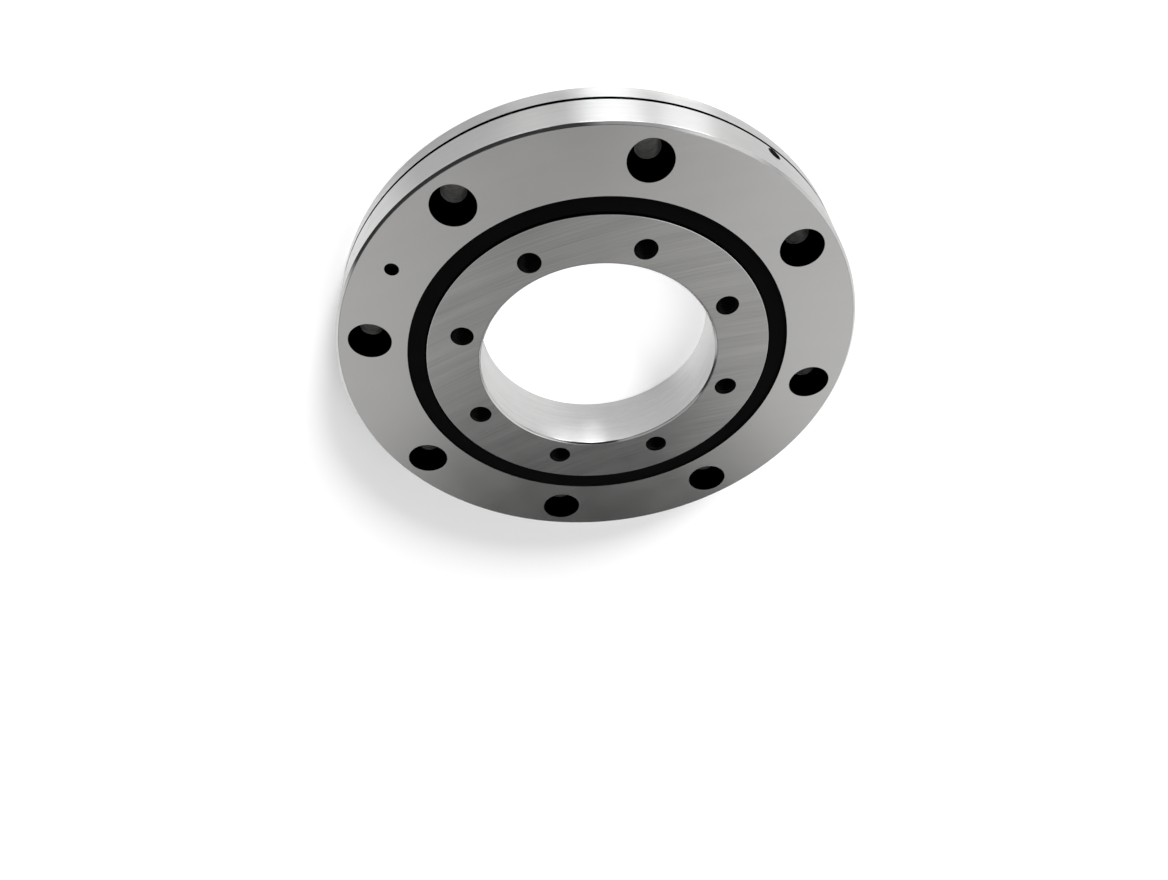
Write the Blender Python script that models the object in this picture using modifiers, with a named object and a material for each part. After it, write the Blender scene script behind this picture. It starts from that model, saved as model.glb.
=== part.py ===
"""Crossed roller bearing with one-piece rings, mounting holes in both rings and a seal on each side.

Metres, +Z up. The bearing lies flat with its axis on Z, its lower face at z = 0 and the counterbored
face on top. The outer ring is fixed, and the inner ring, the roller set and the rollers turn.
"""

import math

import bmesh
import bpy
from mathutils import Matrix

MM = 0.001
DEGREE = math.pi / 180.0

# Boundary dimensions
OUTER_DIAMETER = 120.0 * MM
SECTION_HEIGHT = 32.5 * MM
WIDTH = 15.0 * MM
OUTER_CHAMFER = 0.6 * MM
BORE_CHAMFER = 0.5 * MM

# Raceway: the lands are the plain bands between a seal's shoulder and the vee
RACE_OFFSET = 1.25 * MM
RACE_CLEARANCE = 0.12 * MM
RELIEF_WIDTH = 1.2 * MM
RELIEF_DEPTH = 0.7 * MM
LAND_GAP = 1.6 * MM
LAND_HEIGHT = 0.83 * MM

# Rollers, whose diameter is what the raceway leaves
ROLLER_END_PLAY = 0.4 * MM
ROLLER_CHAMFER = 0.35 * MM

# Spacers between the rollers: the least web there, and how far they reach round a roller
SPACER_WEB = 3.0 * MM
SPACER_REACH = 1.0 * MM
SPACER_UNDERSIZE = 0.6 * MM
SPACER_CLEARANCE = 0.15 * MM

# Seals, seated in the outer ring with their lips on the inner ring
SEAL_SEAT_STEP = 0.8 * MM
SEAL_TRACK_STEP = 1.8 * MM
SEAL_THICKNESS = 1.7 * MM
SEAL_RECESS = 0.5 * MM
SEAL_RIM_WIDTH = 1.6 * MM
SEAL_LIP_HEIGHT = 0.9 * MM
SEAL_LIP_BEVEL = 0.3 * MM
SEAL_SEAT_CLEARANCE = 0.05 * MM
SEAL_LIP_CLEARANCE = 0.12 * MM
SEAL_SHOULDER_GAP = 0.15 * MM
SEAL_RELIEF = 0.35 * MM

# Mounting holes of the outer ring, a little outside the middle of its face
OUTER_HOLE_COUNT = 8
OUTER_HOLE_OFFSET = 0.45 * MM
OUTER_HOLE_DIAMETER = 5.5 * MM
COUNTERBORE_DIAMETER = 9.5 * MM
COUNTERBORE_DEPTH = 5.4 * MM

# Tapped holes of the inner ring, a little inside the middle of its face, drilled to the thread's core
INNER_HOLE_COUNT = 8
INNER_HOLE_OFFSET = 1.2 * MM
INNER_HOLE_ANGLE = -6.75 * DEGREE
TAP_DRILL_DIAMETER = 4.2 * MM
COUNTERSINK_DIAMETER = 5.25 * MM

# Groove and oil hole in the outer ring's rim: the hole at mid-width, the groove below it
GROOVE_DROP = 2.3 * MM
GROOVE_WIDTH = 1.0 * MM
GROOVE_DEPTH = 0.8 * MM
OIL_HOLE_DIAMETER = 3.0 * MM
OIL_HOLE_ANGLE = 108.5 * DEGREE

# Loading plug and its tapered lock pin, whose hole stops short of the lower face
PLUG_ROOM = 0.115 * MM
PLUG_ANGLE = 202.5 * DEGREE
PLUG_CLEARANCE = 0.05 * MM
PIN_DIAMETER = 3.0 * MM
PIN_TAPER = 1.0 / 50.0
PIN_SEAT_DEPTH = 2.4 * MM
PIN_FLOOR = 1.7 * MM
PIN_CLEARANCE = 0.05 * MM
PIN_END_GAP = 0.3 * MM

# Sides of the round shapes, and how far a cutter runs past what it cuts
RING_SIDES = 64
HOLE_SIDES = 20
TAPPED_SIDES = 16
SMALL_SIDES = 16
PLUG_SIDES = 20
ROLLER_SIDES = 14
SPACER_SIDES = 12
POCKET_SIDES = 16
OVERRUN = 1.0 * MM

# Radii and heights worked out from the sizes above
OUTER_RADIUS = OUTER_DIAMETER / 2
BORE_RADIUS = OUTER_RADIUS - SECTION_HEIGHT
MID_HEIGHT = WIDTH / 2
PITCH_RADIUS = (OUTER_RADIUS + BORE_RADIUS) / 2 - RACE_OFFSET
SEAT_DEPTH = SEAL_RECESS + SEAL_THICKNESS + SEAL_SHOULDER_GAP
SEAT_RADIUS = PITCH_RADIUS + LAND_GAP / 2 + SEAL_SEAT_STEP
TRACK_RADIUS = PITCH_RADIUS - LAND_GAP / 2 - SEAL_TRACK_STEP
OUTER_HOLE_RADIUS = (SEAT_RADIUS + OUTER_RADIUS) / 2 + OUTER_HOLE_OFFSET
INNER_HOLE_RADIUS = (BORE_RADIUS + TRACK_RADIUS) / 2 - INNER_HOLE_OFFSET

# Crossed rollers lean at 45 degrees, so each ring's vee has a right angle
ROLLER_TILT = math.pi / 4
VEE_MOUTH = MID_HEIGHT - SEAT_DEPTH - LAND_HEIGHT
VEE_APEX = VEE_MOUTH + LAND_GAP / 2
RELIEF_START = VEE_APEX - RELIEF_WIDTH / 2
ROLLER_RADIUS = VEE_APEX * math.cos(ROLLER_TILT) - RACE_CLEARANCE
ROLLER_LENGTH = 2 * ROLLER_RADIUS - ROLLER_END_PLAY
ROLLER_PAIRS = math.floor(math.pi * PITCH_RADIUS / (2 * ROLLER_RADIUS + SPACER_WEB))
ROLLER_COUNT = 2 * ROLLER_PAIRS
ROLLER_STEP = 2 * math.pi / ROLLER_COUNT
ROLLER_GAP = 2 * PITCH_RADIUS * math.sin(ROLLER_STEP / 2) - 2 * ROLLER_RADIUS
SPACER_RADIUS = ROLLER_RADIUS - SPACER_UNDERSIZE / 2
SPACER_LENGTH = ROLLER_GAP + 2 * SPACER_REACH

# The loading hole passes a leaning roller
LEANING_HEIGHT = (2 * ROLLER_RADIUS + ROLLER_LENGTH - ROLLER_CHAMFER) * math.sin(ROLLER_TILT)
LOADING_RADIUS = LEANING_HEIGHT / 2 + PLUG_ROOM


def clear_scene():
    for thing in list(bpy.data.objects):
        bpy.data.objects.remove(thing, do_unlink=True)


def new_collection(name):
    collection = bpy.data.collections.new(name)
    bpy.context.scene.collection.children.link(collection)
    return collection


def metal(name, colour, roughness):
    return principled(name, colour, roughness, 1.0)


def principled(name, colour, roughness, metallic):
    material = bpy.data.materials.new(name)
    material.use_nodes = True
    shader = material.node_tree.nodes["Principled BSDF"]
    shader.inputs["Base Color"].default_value = (*colour, 1.0)
    shader.inputs["Roughness"].default_value = roughness
    shader.inputs["Metallic"].default_value = metallic
    return material


def link_object(name, mesh, collection, material=None):
    thing = bpy.data.objects.new(name, mesh)
    collection.objects.link(thing)
    if material:
        thing.data.materials.append(material)
    return thing


def shade(mesh):
    mesh.shade_smooth()
    mesh.set_sharp_from_angle(angle=30 * DEGREE)


def profile_mesh(name, points, closed):
    """Edges through (radius, height) points, in the XZ plane."""
    shape = bmesh.new()
    corners = [shape.verts.new((radius, 0.0, height)) for radius, height in points]
    for first, second in zip(corners, corners[1:]):
        shape.edges.new((first, second))
    if closed:
        shape.edges.new((corners[-1], corners[0]))
    mesh = bpy.data.meshes.new(name)
    shape.to_mesh(mesh)
    shape.free()
    return mesh


def turned(name, points, sides, collection, material=None, closed=True):
    """A solid of revolution about Z. An open profile starts and ends on the axis."""
    thing = link_object(name, profile_mesh(name, points, closed), collection, material)
    turn = thing.modifiers.new("Turn", "SCREW")
    turn.axis = "Z"
    turn.steps = sides
    turn.render_steps = sides
    turn.use_merge_vertices = True
    turn.merge_threshold = 0.01 * MM
    return thing


def boolean(thing, cutter, operation="DIFFERENCE"):
    cut = thing.modifiers.new(cutter.name, "BOOLEAN")
    cut.operation = operation
    cut.solver = "EXACT"
    cut.object = cutter
    return cut


def cutter_object(name, mesh, collection):
    thing = link_object(name, mesh, collection)
    thing.display_type = "WIRE"
    thing.hide_render = True
    return thing


def cone_mesh(name, low_radius, high_radius, low, high, sides):
    """A cylinder or cone on Z between two heights."""
    shape = bmesh.new()
    bmesh.ops.create_cone(
        shape,
        cap_ends=True,
        segments=sides,
        radius1=low_radius,
        radius2=high_radius,
        depth=high - low,
    )
    bmesh.ops.translate(shape, verts=shape.verts, vec=(0, 0, (low + high) / 2))
    mesh = bpy.data.meshes.new(name)
    shape.to_mesh(mesh)
    shape.free()
    return mesh


def pattern_mesh(name, pieces, count, radius):
    """Copies of the pieces' meshes round a hole circle, in one mesh of separate solids."""
    shape = bmesh.new()
    for index in range(count):
        angle = index * 2 * math.pi / count
        place = Matrix.Rotation(angle, 4, "Z") @ Matrix.Translation((radius, 0, 0))
        for piece in pieces:
            before = len(shape.verts)
            shape.from_mesh(piece)
            shape.verts.ensure_lookup_table()
            bmesh.ops.transform(shape, matrix=place, verts=shape.verts[before:])
    mesh = bpy.data.meshes.new(name)
    shape.to_mesh(mesh)
    shape.free()
    return mesh


def race_half(side):
    """(radius, height over the mid-plane) from the seal's shoulder down into the vee of one ring.

    side is 1 in the outer ring, whose vee opens inwards, and -1 in the inner ring.
    """
    land = PITCH_RADIUS + side * LAND_GAP / 2
    vee_end = PITCH_RADIUS + side * RELIEF_START
    return [
        (land, MID_HEIGHT - SEAT_DEPTH),
        (land, VEE_MOUTH),
        (vee_end, RELIEF_WIDTH / 2),
        (vee_end + side * RELIEF_DEPTH, RELIEF_WIDTH / 2),
    ]


def race_profile(side):
    """The whole raceway side of one ring, top to bottom."""
    half = race_half(side)
    upper = [(radius, MID_HEIGHT + height) for radius, height in half]
    lower = [(radius, MID_HEIGHT - height) for radius, height in reversed(half)]
    return upper + lower


def outer_ring_profile():
    groove_top = MID_HEIGHT - GROOVE_DROP + GROOVE_WIDTH / 2
    groove_floor = OUTER_RADIUS - GROOVE_DEPTH
    rim = [
        (OUTER_RADIUS - OUTER_CHAMFER, WIDTH),
        (OUTER_RADIUS, WIDTH - OUTER_CHAMFER),
        (OUTER_RADIUS, groove_top),
        (groove_floor, groove_top),
        (groove_floor, groove_top - GROOVE_WIDTH),
        (OUTER_RADIUS, groove_top - GROOVE_WIDTH),
        (OUTER_RADIUS, OUTER_CHAMFER),
        (OUTER_RADIUS - OUTER_CHAMFER, 0.0),
    ]
    seat_low = [(SEAT_RADIUS, 0.0), (SEAT_RADIUS, SEAT_DEPTH)]
    seat_high = [(SEAT_RADIUS, WIDTH - SEAT_DEPTH), (SEAT_RADIUS, WIDTH)]
    return rim + seat_low + race_profile(1)[::-1] + seat_high


def inner_ring_profile():
    track_high = [(TRACK_RADIUS, WIDTH), (TRACK_RADIUS, WIDTH - SEAT_DEPTH)]
    track_low = [(TRACK_RADIUS, SEAT_DEPTH), (TRACK_RADIUS, 0.0)]
    bore = [
        (BORE_RADIUS + BORE_CHAMFER, 0.0),
        (BORE_RADIUS, BORE_CHAMFER),
        (BORE_RADIUS, WIDTH - BORE_CHAMFER),
        (BORE_RADIUS + BORE_CHAMFER, WIDTH),
    ]
    return track_high + race_profile(-1) + track_low + bore


def seal_profile(side):
    """A seal: a thick rim in its seat, and a thinner web out to the lip. side is 1 for the top one."""
    rim = SEAT_RADIUS - SEAL_SEAT_CLEARANCE
    lip = TRACK_RADIUS + SEAL_LIP_CLEARANCE
    face = MID_HEIGHT - SEAL_RECESS
    back = face - SEAL_THICKNESS
    web = rim - SEAL_RIM_WIDTH
    half = [
        (lip + SEAL_LIP_BEVEL, face),
        (rim, face),
        (rim, back),
        (web, back),
        (web - SEAL_RELIEF, back + SEAL_RELIEF),
        (lip, face - SEAL_LIP_HEIGHT),
        (lip, face - SEAL_LIP_BEVEL),
    ]
    if side < 0:
        half.reverse()
    return [(radius, MID_HEIGHT + side * height) for radius, height in half]


def roller_profile():
    end = ROLLER_RADIUS - ROLLER_CHAMFER
    half = ROLLER_LENGTH / 2
    return [
        (0.0, half),
        (end, half),
        (ROLLER_RADIUS, half - ROLLER_CHAMFER),
        (ROLLER_RADIUS, ROLLER_CHAMFER - half),
        (end, -half),
        (0.0, -half),
    ]


def radial_cutter(name, radius, sides, angle, collection):
    """A cylinder on a radius of the bearing, from the gap between the rings out past the rim."""
    mesh = cone_mesh(name, radius, radius, PITCH_RADIUS, OUTER_RADIUS + OVERRUN, sides)
    half_side = Matrix.Rotation(math.pi / sides, 4, "Z")
    mesh.transform(Matrix.Rotation(90 * DEGREE, 4, "Y") @ half_side)
    cutter = cutter_object(name, mesh, collection)
    cutter.location.z = MID_HEIGHT
    cutter.rotation_euler.z = angle
    return cutter


def hole_cutters(cutters):
    """The outer ring's mounting holes, as two cutters: the holes and their counterbores."""
    hole = OUTER_HOLE_DIAMETER / 2
    bore = COUNTERBORE_DIAMETER / 2
    floor = WIDTH - COUNTERBORE_DEPTH
    through = cone_mesh("hole", hole, hole, -OVERRUN, WIDTH + OVERRUN, HOLE_SIDES)
    counterbore = cone_mesh("counterbore", bore, bore, floor, WIDTH + OVERRUN, HOLE_SIDES)
    made = []
    for name, piece in (("mounting_holes", through), ("counterbores", counterbore)):
        mesh = pattern_mesh(name, [piece], OUTER_HOLE_COUNT, OUTER_HOLE_RADIUS)
        made.append(cutter_object(name, mesh, cutters))
    return made


def tapped_cutters(cutters):
    """The inner ring's tapped holes, as two cutters: the drillings and their countersinks."""
    core = TAP_DRILL_DIAMETER / 2
    mouth = COUNTERSINK_DIAMETER / 2
    wide = mouth + OVERRUN
    narrow = core / 2
    depth = mouth - narrow
    drill = cone_mesh("drill", core, core, -OVERRUN, WIDTH + OVERRUN, TAPPED_SIDES)
    high = cone_mesh("high", narrow, wide, WIDTH - depth, WIDTH + OVERRUN, TAPPED_SIDES)
    low = cone_mesh("low", wide, narrow, -OVERRUN, depth, TAPPED_SIDES)
    made = []
    for name, pieces in (("tap_drillings", [drill]), ("countersinks", [high, low])):
        mesh = pattern_mesh(name, pieces, INNER_HOLE_COUNT, INNER_HOLE_RADIUS)
        made.append(cutter_object(name, mesh, cutters))
    return made


def pin_radius(height):
    """Radius of the tapered pin hole at a height."""
    return PIN_DIAMETER / 2 - (WIDTH - height) * PIN_TAPER / 2


def place_on_pin_axis(thing):
    """The pin stands on the mounting holes' circle, over the plug's axis."""
    thing.location.x = OUTER_HOLE_RADIUS * math.cos(PLUG_ANGLE)
    thing.location.y = OUTER_HOLE_RADIUS * math.sin(PLUG_ANGLE)
    return thing


def pin_cutter(cutters):
    high = WIDTH + OVERRUN
    mesh = cone_mesh(
        "pin_hole", pin_radius(PIN_FLOOR), pin_radius(high), PIN_FLOOR, high, SMALL_SIDES
    )
    return place_on_pin_axis(cutter_object("pin_hole", mesh, cutters))


def make_lock_pin(parts):
    high = WIDTH - PIN_SEAT_DEPTH
    low = PIN_FLOOR + PIN_END_GAP
    mesh = cone_mesh(
        "lock_pin",
        pin_radius(low) - PIN_CLEARANCE,
        pin_radius(high) - PIN_CLEARANCE,
        low,
        high,
        SMALL_SIDES,
    )
    steel = metal("pin_steel", (0.30, 0.29, 0.28), 0.45)
    return place_on_pin_axis(link_object("lock_pin", mesh, parts, steel))


def make_outer_ring(parts, cutters, pin_hole):
    steel = metal("outer_ring_steel", (0.60, 0.60, 0.60), 0.38)
    ring = turned("outer_ring", outer_ring_profile(), RING_SIDES, parts, steel)
    oil_hole = radial_cutter("oil_hole", OIL_HOLE_DIAMETER / 2, SMALL_SIDES, OIL_HOLE_ANGLE, cutters)
    loading_hole = radial_cutter("loading_hole", LOADING_RADIUS, PLUG_SIDES, PLUG_ANGLE, cutters)
    for cutter in (oil_hole, loading_hole, pin_hole, *hole_cutters(cutters)):
        boolean(ring, cutter)
    return ring


def make_loading_plug(parts, cutters, pin_hole):
    """The piece of the ring's own section inside the loading hole."""
    steel = metal("plug_steel", (0.56, 0.56, 0.56), 0.40)
    plug = turned("loading_plug", outer_ring_profile(), RING_SIDES, parts, steel)
    radius = LOADING_RADIUS - PLUG_CLEARANCE
    blank = radial_cutter("plug_blank", radius, PLUG_SIDES, PLUG_ANGLE, cutters)
    boolean(plug, blank, "INTERSECT")
    boolean(plug, pin_hole)
    return plug


def make_inner_ring(parts, cutters):
    """The inner ring is drawn with a hole on +X and turned to its place at rest."""
    steel = metal("inner_ring_steel", (0.52, 0.52, 0.52), 0.36)
    ring = turned("inner_ring", inner_ring_profile(), RING_SIDES, parts, steel)
    for cutter in tapped_cutters(cutters):
        cutter.parent = ring
        boolean(ring, cutter)
    ring.rotation_euler.z = INNER_HOLE_ANGLE
    return ring


def make_seals(parts):
    rubber = principled("seal_rubber", (0.012, 0.012, 0.013), 0.62, 0.0)
    for name, side in (("top_seal", 1), ("bottom_seal", -1)):
        turned(name, seal_profile(side), RING_SIDES, parts, rubber)


def roller_place(index):
    """Matrix of a roller's centre and axis. Every other roller leans the other way."""
    lean = ROLLER_TILT if index % 2 == 0 else -ROLLER_TILT
    return (
        Matrix.Rotation(index * ROLLER_STEP, 4, "Z")
        @ Matrix.Translation((PITCH_RADIUS, 0, MID_HEIGHT))
        @ Matrix.Rotation(lean, 4, "Y")
    )


def make_rollers(parts, carrier):
    steel = metal("roller_steel", (0.72, 0.72, 0.73), 0.16)
    first = turned("roller_01", roller_profile(), ROLLER_SIDES, parts, steel, closed=False)
    settle(first)
    rollers = [first]
    for index in range(1, ROLLER_COUNT):
        rollers.append(link_object(f"roller_{index + 1:02d}", first.data, parts))
    for index, roller in enumerate(rollers):
        roller.parent = carrier
        roller.matrix_world = roller_place(index)


def make_spacers(parts, cutters, carrier):
    """Round blocks between the rollers, hollowed on both sides to the rollers' curve."""
    resin = principled("spacer_resin", (0.70, 0.62, 0.45), 0.50, 0.0)
    pocket = ROLLER_RADIUS + SPACER_CLEARANCE
    reach = 2 * SPACER_RADIUS
    pocket_mesh = cone_mesh("pocket", pocket, pocket, -reach, reach, POCKET_SIDES)
    pockets = []
    for index in range(ROLLER_COUNT):
        cutter = cutter_object(f"pocket_{index + 1:02d}", pocket_mesh, cutters)
        cutter.matrix_world = roller_place(index)
        pockets.append(cutter)
    for index in range(ROLLER_COUNT):
        half = SPACER_LENGTH / 2
        mesh = cone_mesh("spacer", SPACER_RADIUS, SPACER_RADIUS, -half, half, SPACER_SIDES)
        mesh.transform(Matrix.Rotation(90 * DEGREE, 4, "X"))
        spacer = link_object(f"spacer_{index + 1:02d}", mesh, parts, resin)
        boolean(spacer, pockets[index])
        boolean(spacer, pockets[(index + 1) % ROLLER_COUNT])
        spacer.parent = carrier
        turn = Matrix.Rotation((index + 0.5) * ROLLER_STEP, 4, "Z")
        spacer.matrix_world = turn @ Matrix.Translation((PITCH_RADIUS, 0, MID_HEIGHT))


def settle(thing):
    """Swap the mesh and its modifiers for the finished mesh, and shade it smooth between edges."""
    bpy.context.view_layer.update()
    graph = bpy.context.evaluated_depsgraph_get()
    mesh = bpy.data.meshes.new_from_object(thing.evaluated_get(graph))
    mesh.name = thing.name
    thing.modifiers.clear()
    thing.data = mesh
    shade(mesh)


def build():
    clear_scene()
    parts = new_collection("crossed_roller_bearing")
    cutters = new_collection("cutters")
    carrier = bpy.data.objects.new("roller_set_axis", None)
    parts.objects.link(carrier)
    pin_hole = pin_cutter(cutters)
    make_outer_ring(parts, cutters, pin_hole)
    make_loading_plug(parts, cutters, pin_hole)
    make_lock_pin(parts)
    make_inner_ring(parts, cutters)
    make_seals(parts)
    make_rollers(parts, carrier)
    make_spacers(parts, cutters, carrier)
    for thing in parts.objects:
        if thing.modifiers:
            settle(thing)


build()
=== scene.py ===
"""Looks of the crossed roller bearing: fine meshes over the CAD solids, with ground steel, rubber
and resin as node materials, on a pale floor in soft studio light.

Metres, in the frame of the CAD. The axis is Z and the lower face lies on the floor at z = 0.
"""

import math

import bmesh
import bpy
from mathutils import Matrix, Vector


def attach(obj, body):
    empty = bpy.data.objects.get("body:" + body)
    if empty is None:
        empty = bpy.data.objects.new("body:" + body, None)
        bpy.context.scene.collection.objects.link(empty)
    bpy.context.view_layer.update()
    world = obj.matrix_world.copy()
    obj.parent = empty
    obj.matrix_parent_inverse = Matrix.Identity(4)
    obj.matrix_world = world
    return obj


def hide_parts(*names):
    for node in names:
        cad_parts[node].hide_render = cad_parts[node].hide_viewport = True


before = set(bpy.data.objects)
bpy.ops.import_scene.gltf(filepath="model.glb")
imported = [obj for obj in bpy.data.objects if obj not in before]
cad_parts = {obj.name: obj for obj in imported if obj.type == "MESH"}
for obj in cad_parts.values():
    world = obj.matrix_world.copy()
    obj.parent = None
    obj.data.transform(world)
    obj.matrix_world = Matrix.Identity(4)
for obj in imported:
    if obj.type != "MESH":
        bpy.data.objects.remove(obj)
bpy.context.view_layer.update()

MM = 0.001
DEGREE = math.pi / 180

# Driving sizes, as in the CAD
OUTER_DIAMETER = 120.0 * MM
SECTION_HEIGHT = 32.5 * MM
WIDTH = 15.0 * MM
OUTER_CHAMFER = 0.6 * MM
BORE_CHAMFER = 0.5 * MM

RACE_OFFSET = 1.25 * MM
RELIEF_WIDTH = 1.2 * MM
RELIEF_DEPTH = 0.7 * MM
LAND_GAP = 1.6 * MM
LAND_HEIGHT = 0.83 * MM
ROLLER_TILT = math.pi / 4
ROLLER_CHAMFER = 0.35 * MM

SEAL_SEAT_STEP = 0.8 * MM
SEAL_TRACK_STEP = 1.8 * MM
SEAL_THICKNESS = 1.7 * MM
SEAL_RECESS = 0.5 * MM
SEAL_RIM_WIDTH = 1.6 * MM
SEAL_LIP_HEIGHT = 0.9 * MM
SEAL_LIP_BEVEL = 0.3 * MM
SEAL_SEAT_CLEARANCE = 0.05 * MM
SEAL_LIP_CLEARANCE = 0.12 * MM
SEAL_SHOULDER_GAP = 0.15 * MM
SEAL_RELIEF = 0.35 * MM

HOLE_COUNT = 8
OUTER_HOLE_OFFSET = 0.45 * MM
OUTER_HOLE_RADIUS = 2.75 * MM
COUNTERBORE_RADIUS = 4.75 * MM
COUNTERBORE_DEPTH = 5.4 * MM
INNER_HOLE_OFFSET = 1.2 * MM
INNER_HOLE_ANGLE = -6.75 * DEGREE
THREAD_CORE = 2.1 * MM
THREAD_MAJOR = 2.5 * MM
THREAD_PITCH = 0.8 * MM
COUNTERSINK_RADIUS = 2.625 * MM

GROOVE_DROP = 2.3 * MM
GROOVE_WIDTH = 1.0 * MM
GROOVE_DEPTH = 0.8 * MM
OIL_HOLE_RADIUS = 1.5 * MM
OIL_HOLE_ANGLE = 108.5 * DEGREE
PLUG_ANGLE = 202.5 * DEGREE
PLUG_CLEARANCE = 0.05 * MM
PIN_RADIUS = 1.5 * MM
PIN_TAPER = 1 / 50
PIN_SEAT_DEPTH = 2.4 * MM
PIN_FLOOR = 1.7 * MM
PIN_END_GAP = 0.3 * MM
PIN_CLEARANCE = 0.05 * MM

# Sizes that follow from them
OUTER_RADIUS = OUTER_DIAMETER / 2
BORE_RADIUS = OUTER_RADIUS - SECTION_HEIGHT
MID_HEIGHT = WIDTH / 2
PITCH_RADIUS = (OUTER_RADIUS + BORE_RADIUS) / 2 - RACE_OFFSET
SEAT_DEPTH = SEAL_RECESS + SEAL_THICKNESS + SEAL_SHOULDER_GAP
SEAT_RADIUS = PITCH_RADIUS + LAND_GAP / 2 + SEAL_SEAT_STEP
TRACK_RADIUS = PITCH_RADIUS - LAND_GAP / 2 - SEAL_TRACK_STEP
OUTER_HOLE_CIRCLE = (SEAT_RADIUS + OUTER_RADIUS) / 2 + OUTER_HOLE_OFFSET
INNER_HOLE_CIRCLE = (BORE_RADIUS + TRACK_RADIUS) / 2 - INNER_HOLE_OFFSET
COUNTERBORE_FLOOR = WIDTH - COUNTERBORE_DEPTH
GROOVE_TOP = MID_HEIGHT - GROOVE_DROP + GROOVE_WIDTH / 2
VEE_MOUTH = MID_HEIGHT - SEAT_DEPTH - LAND_HEIGHT
VEE_APEX = VEE_MOUTH + LAND_GAP / 2
RELIEF_START = VEE_APEX - RELIEF_WIDTH / 2

# Rollers, spacers and loading hole, rounded from the CAD
ROLLER_COUNT = 26
ROLLER_STEP = 2 * math.pi / ROLLER_COUNT
ROLLER_RADIUS = 3.5 * MM
ROLLER_LENGTH = 6.6 * MM
SPACER_RADIUS = 3.2 * MM
SPACER_LENGTH = 5.245 * MM
POCKET_RADIUS = 3.65 * MM
LOADING_RADIUS = 4.8 * MM

# Small roundings of the edges, and the sides of the round shapes
EDGE = 0.07 * MM
SOFT_EDGE = 0.12 * MM
BROAD_EDGE = 0.15 * MM
MOUTH = 0.18 * MM
SEAM = 0.02 * MM
OVERRUN = 1.0 * MM
MERGE_DISTANCE = 0.0001 * MM
SHARP_ANGLE = 30 * DEGREE
RING_STEPS = 320
HOLE_STEPS = 72
THREAD_STEPS = 36
ROLLER_STEPS = 56
SPACER_STEPS = 64
POCKET_STEPS = 96

# Places in the rings' lists of finishes, and how a face's slope and place tell its own
FACE, WALL, RACE, HOLE, CHAMFER, DRILLED = range(6)
LEVEL = 0.99
SLANTED = 0.3
NEAR = 0.01 * MM

# Centre of the grinding arcs on the faces, and their reach to the bearing, in millimetres
GRIND_X = 180.0
GRIND_Y = -48.0
GRIND_REACH = 185.0

# The floor's disc and the camera: its place, and the direction of its aim in degrees
FLOOR_RADIUS = 4.0
FLOOR_STEPS = 96
CAMERA_PLACE = Vector((-128.516, 69.338, 179.152)) * MM
AIM_AZIMUTH = -30.4204
AIM_ELEVATION = -43.7218
AIM_ROLL = 174.2521
LENS = 28.79

# The studio round the bearing: its level, and its lights and dark cards. Each has a strength, an
# azimuth and an elevation, and the angles from its middle where it starts to fade and where it ends.
STUDIO_LEVEL = 0.53
STUDIO_LEAST = 0.05
STUDIO = [
    # A high light on the right, which reaches into the holes
    (1.6, 62, 62, 8, 30),
    # Low windows on the near side, which make the bright bands on the rim
    (17.0, 113, 0, 5, 12),
    (21.0, 137, 0, 8, 14),
    (5.5, 164, 0, 4, 11),
    # Low windows at the back and on the left
    (2.5, 322, 0, 6, 14),
    (0.4, 254, -2, 6, 14),
    (0.3, 284, -2, 6, 14),
    # Soft lights on the right
    (0.60, 98, 22, 6, 20),
    (0.55, 50, 16, 6, 34),
    # Dark cards for the dark lines along the chamfers, and for the left
    (-0.52, 160, 26, 10, 19),
    (-0.52, 184, 23, 10, 19),
    (-0.52, 208, 18, 10, 19),
    (-0.52, 230, 13, 8, 16),
    (-0.60, 135, 47, 12, 21),
    (-0.50, 262, 20, 10, 20),
    # A dark card and soft changes of level that the faces mirror
    (-1.0, -31, 32, 9, 17),
    (0.34, -2, 46, 5, 24),
    (0.18, -62, 50, 8, 26),
    (-0.18, -18, 64, 6, 24),
]

# Most noise lies in this range
NOISE_RANGE = (0.3, 0.7)

# A quarter turn of the tangent, which spreads reflections across the lines
QUARTER_TURN = 0.25


def rounded(corners, reach=EDGE, steps=3, closed=True):
    """A profile with its corners eased, over at most 0.4 of the sides beside them."""
    count = len(corners)
    points = []
    for index, corner in enumerate(corners):
        here = Vector(corner)
        if not closed and index in (0, count - 1):
            points.append(tuple(here))
            continue
        back = Vector(corners[index - 1]) - here
        ahead = Vector(corners[(index + 1) % count]) - here
        near = min(reach, 0.4 * back.length, 0.4 * ahead.length)
        first = here + back.normalized() * near
        last = here + ahead.normalized() * near
        for step in range(steps + 1):
            part = step / steps
            points.append(tuple(first.lerp(here, part).lerp(here.lerp(last, part), part)))
    return points


def tidy_mesh(mesh):
    """Joins doubled points and turns the faces outward."""
    shape = bmesh.new()
    shape.from_mesh(mesh)
    bmesh.ops.remove_doubles(shape, verts=shape.verts, dist=MERGE_DISTANCE)
    bmesh.ops.recalc_face_normals(shape, faces=shape.faces)
    shape.to_mesh(mesh)
    shape.free()
    return mesh


def turned(name, profile, steps, closed=True):
    """A mesh of revolution about Z. An open profile starts and ends on the axis."""
    points = []
    faces = []
    count = len(profile)
    for step in range(steps):
        angle = 2 * math.pi * step / steps
        points.extend((r * math.cos(angle), r * math.sin(angle), z) for r, z in profile)
        this = step * count
        other = (step + 1) % steps * count
        for index in range(count if closed else count - 1):
            after = (index + 1) % count
            faces.append((this + index, other + index, other + after, this + after))
    mesh = bpy.data.meshes.new(name)
    mesh.from_pydata(points, [], faces)
    return tidy_mesh(mesh)


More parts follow.
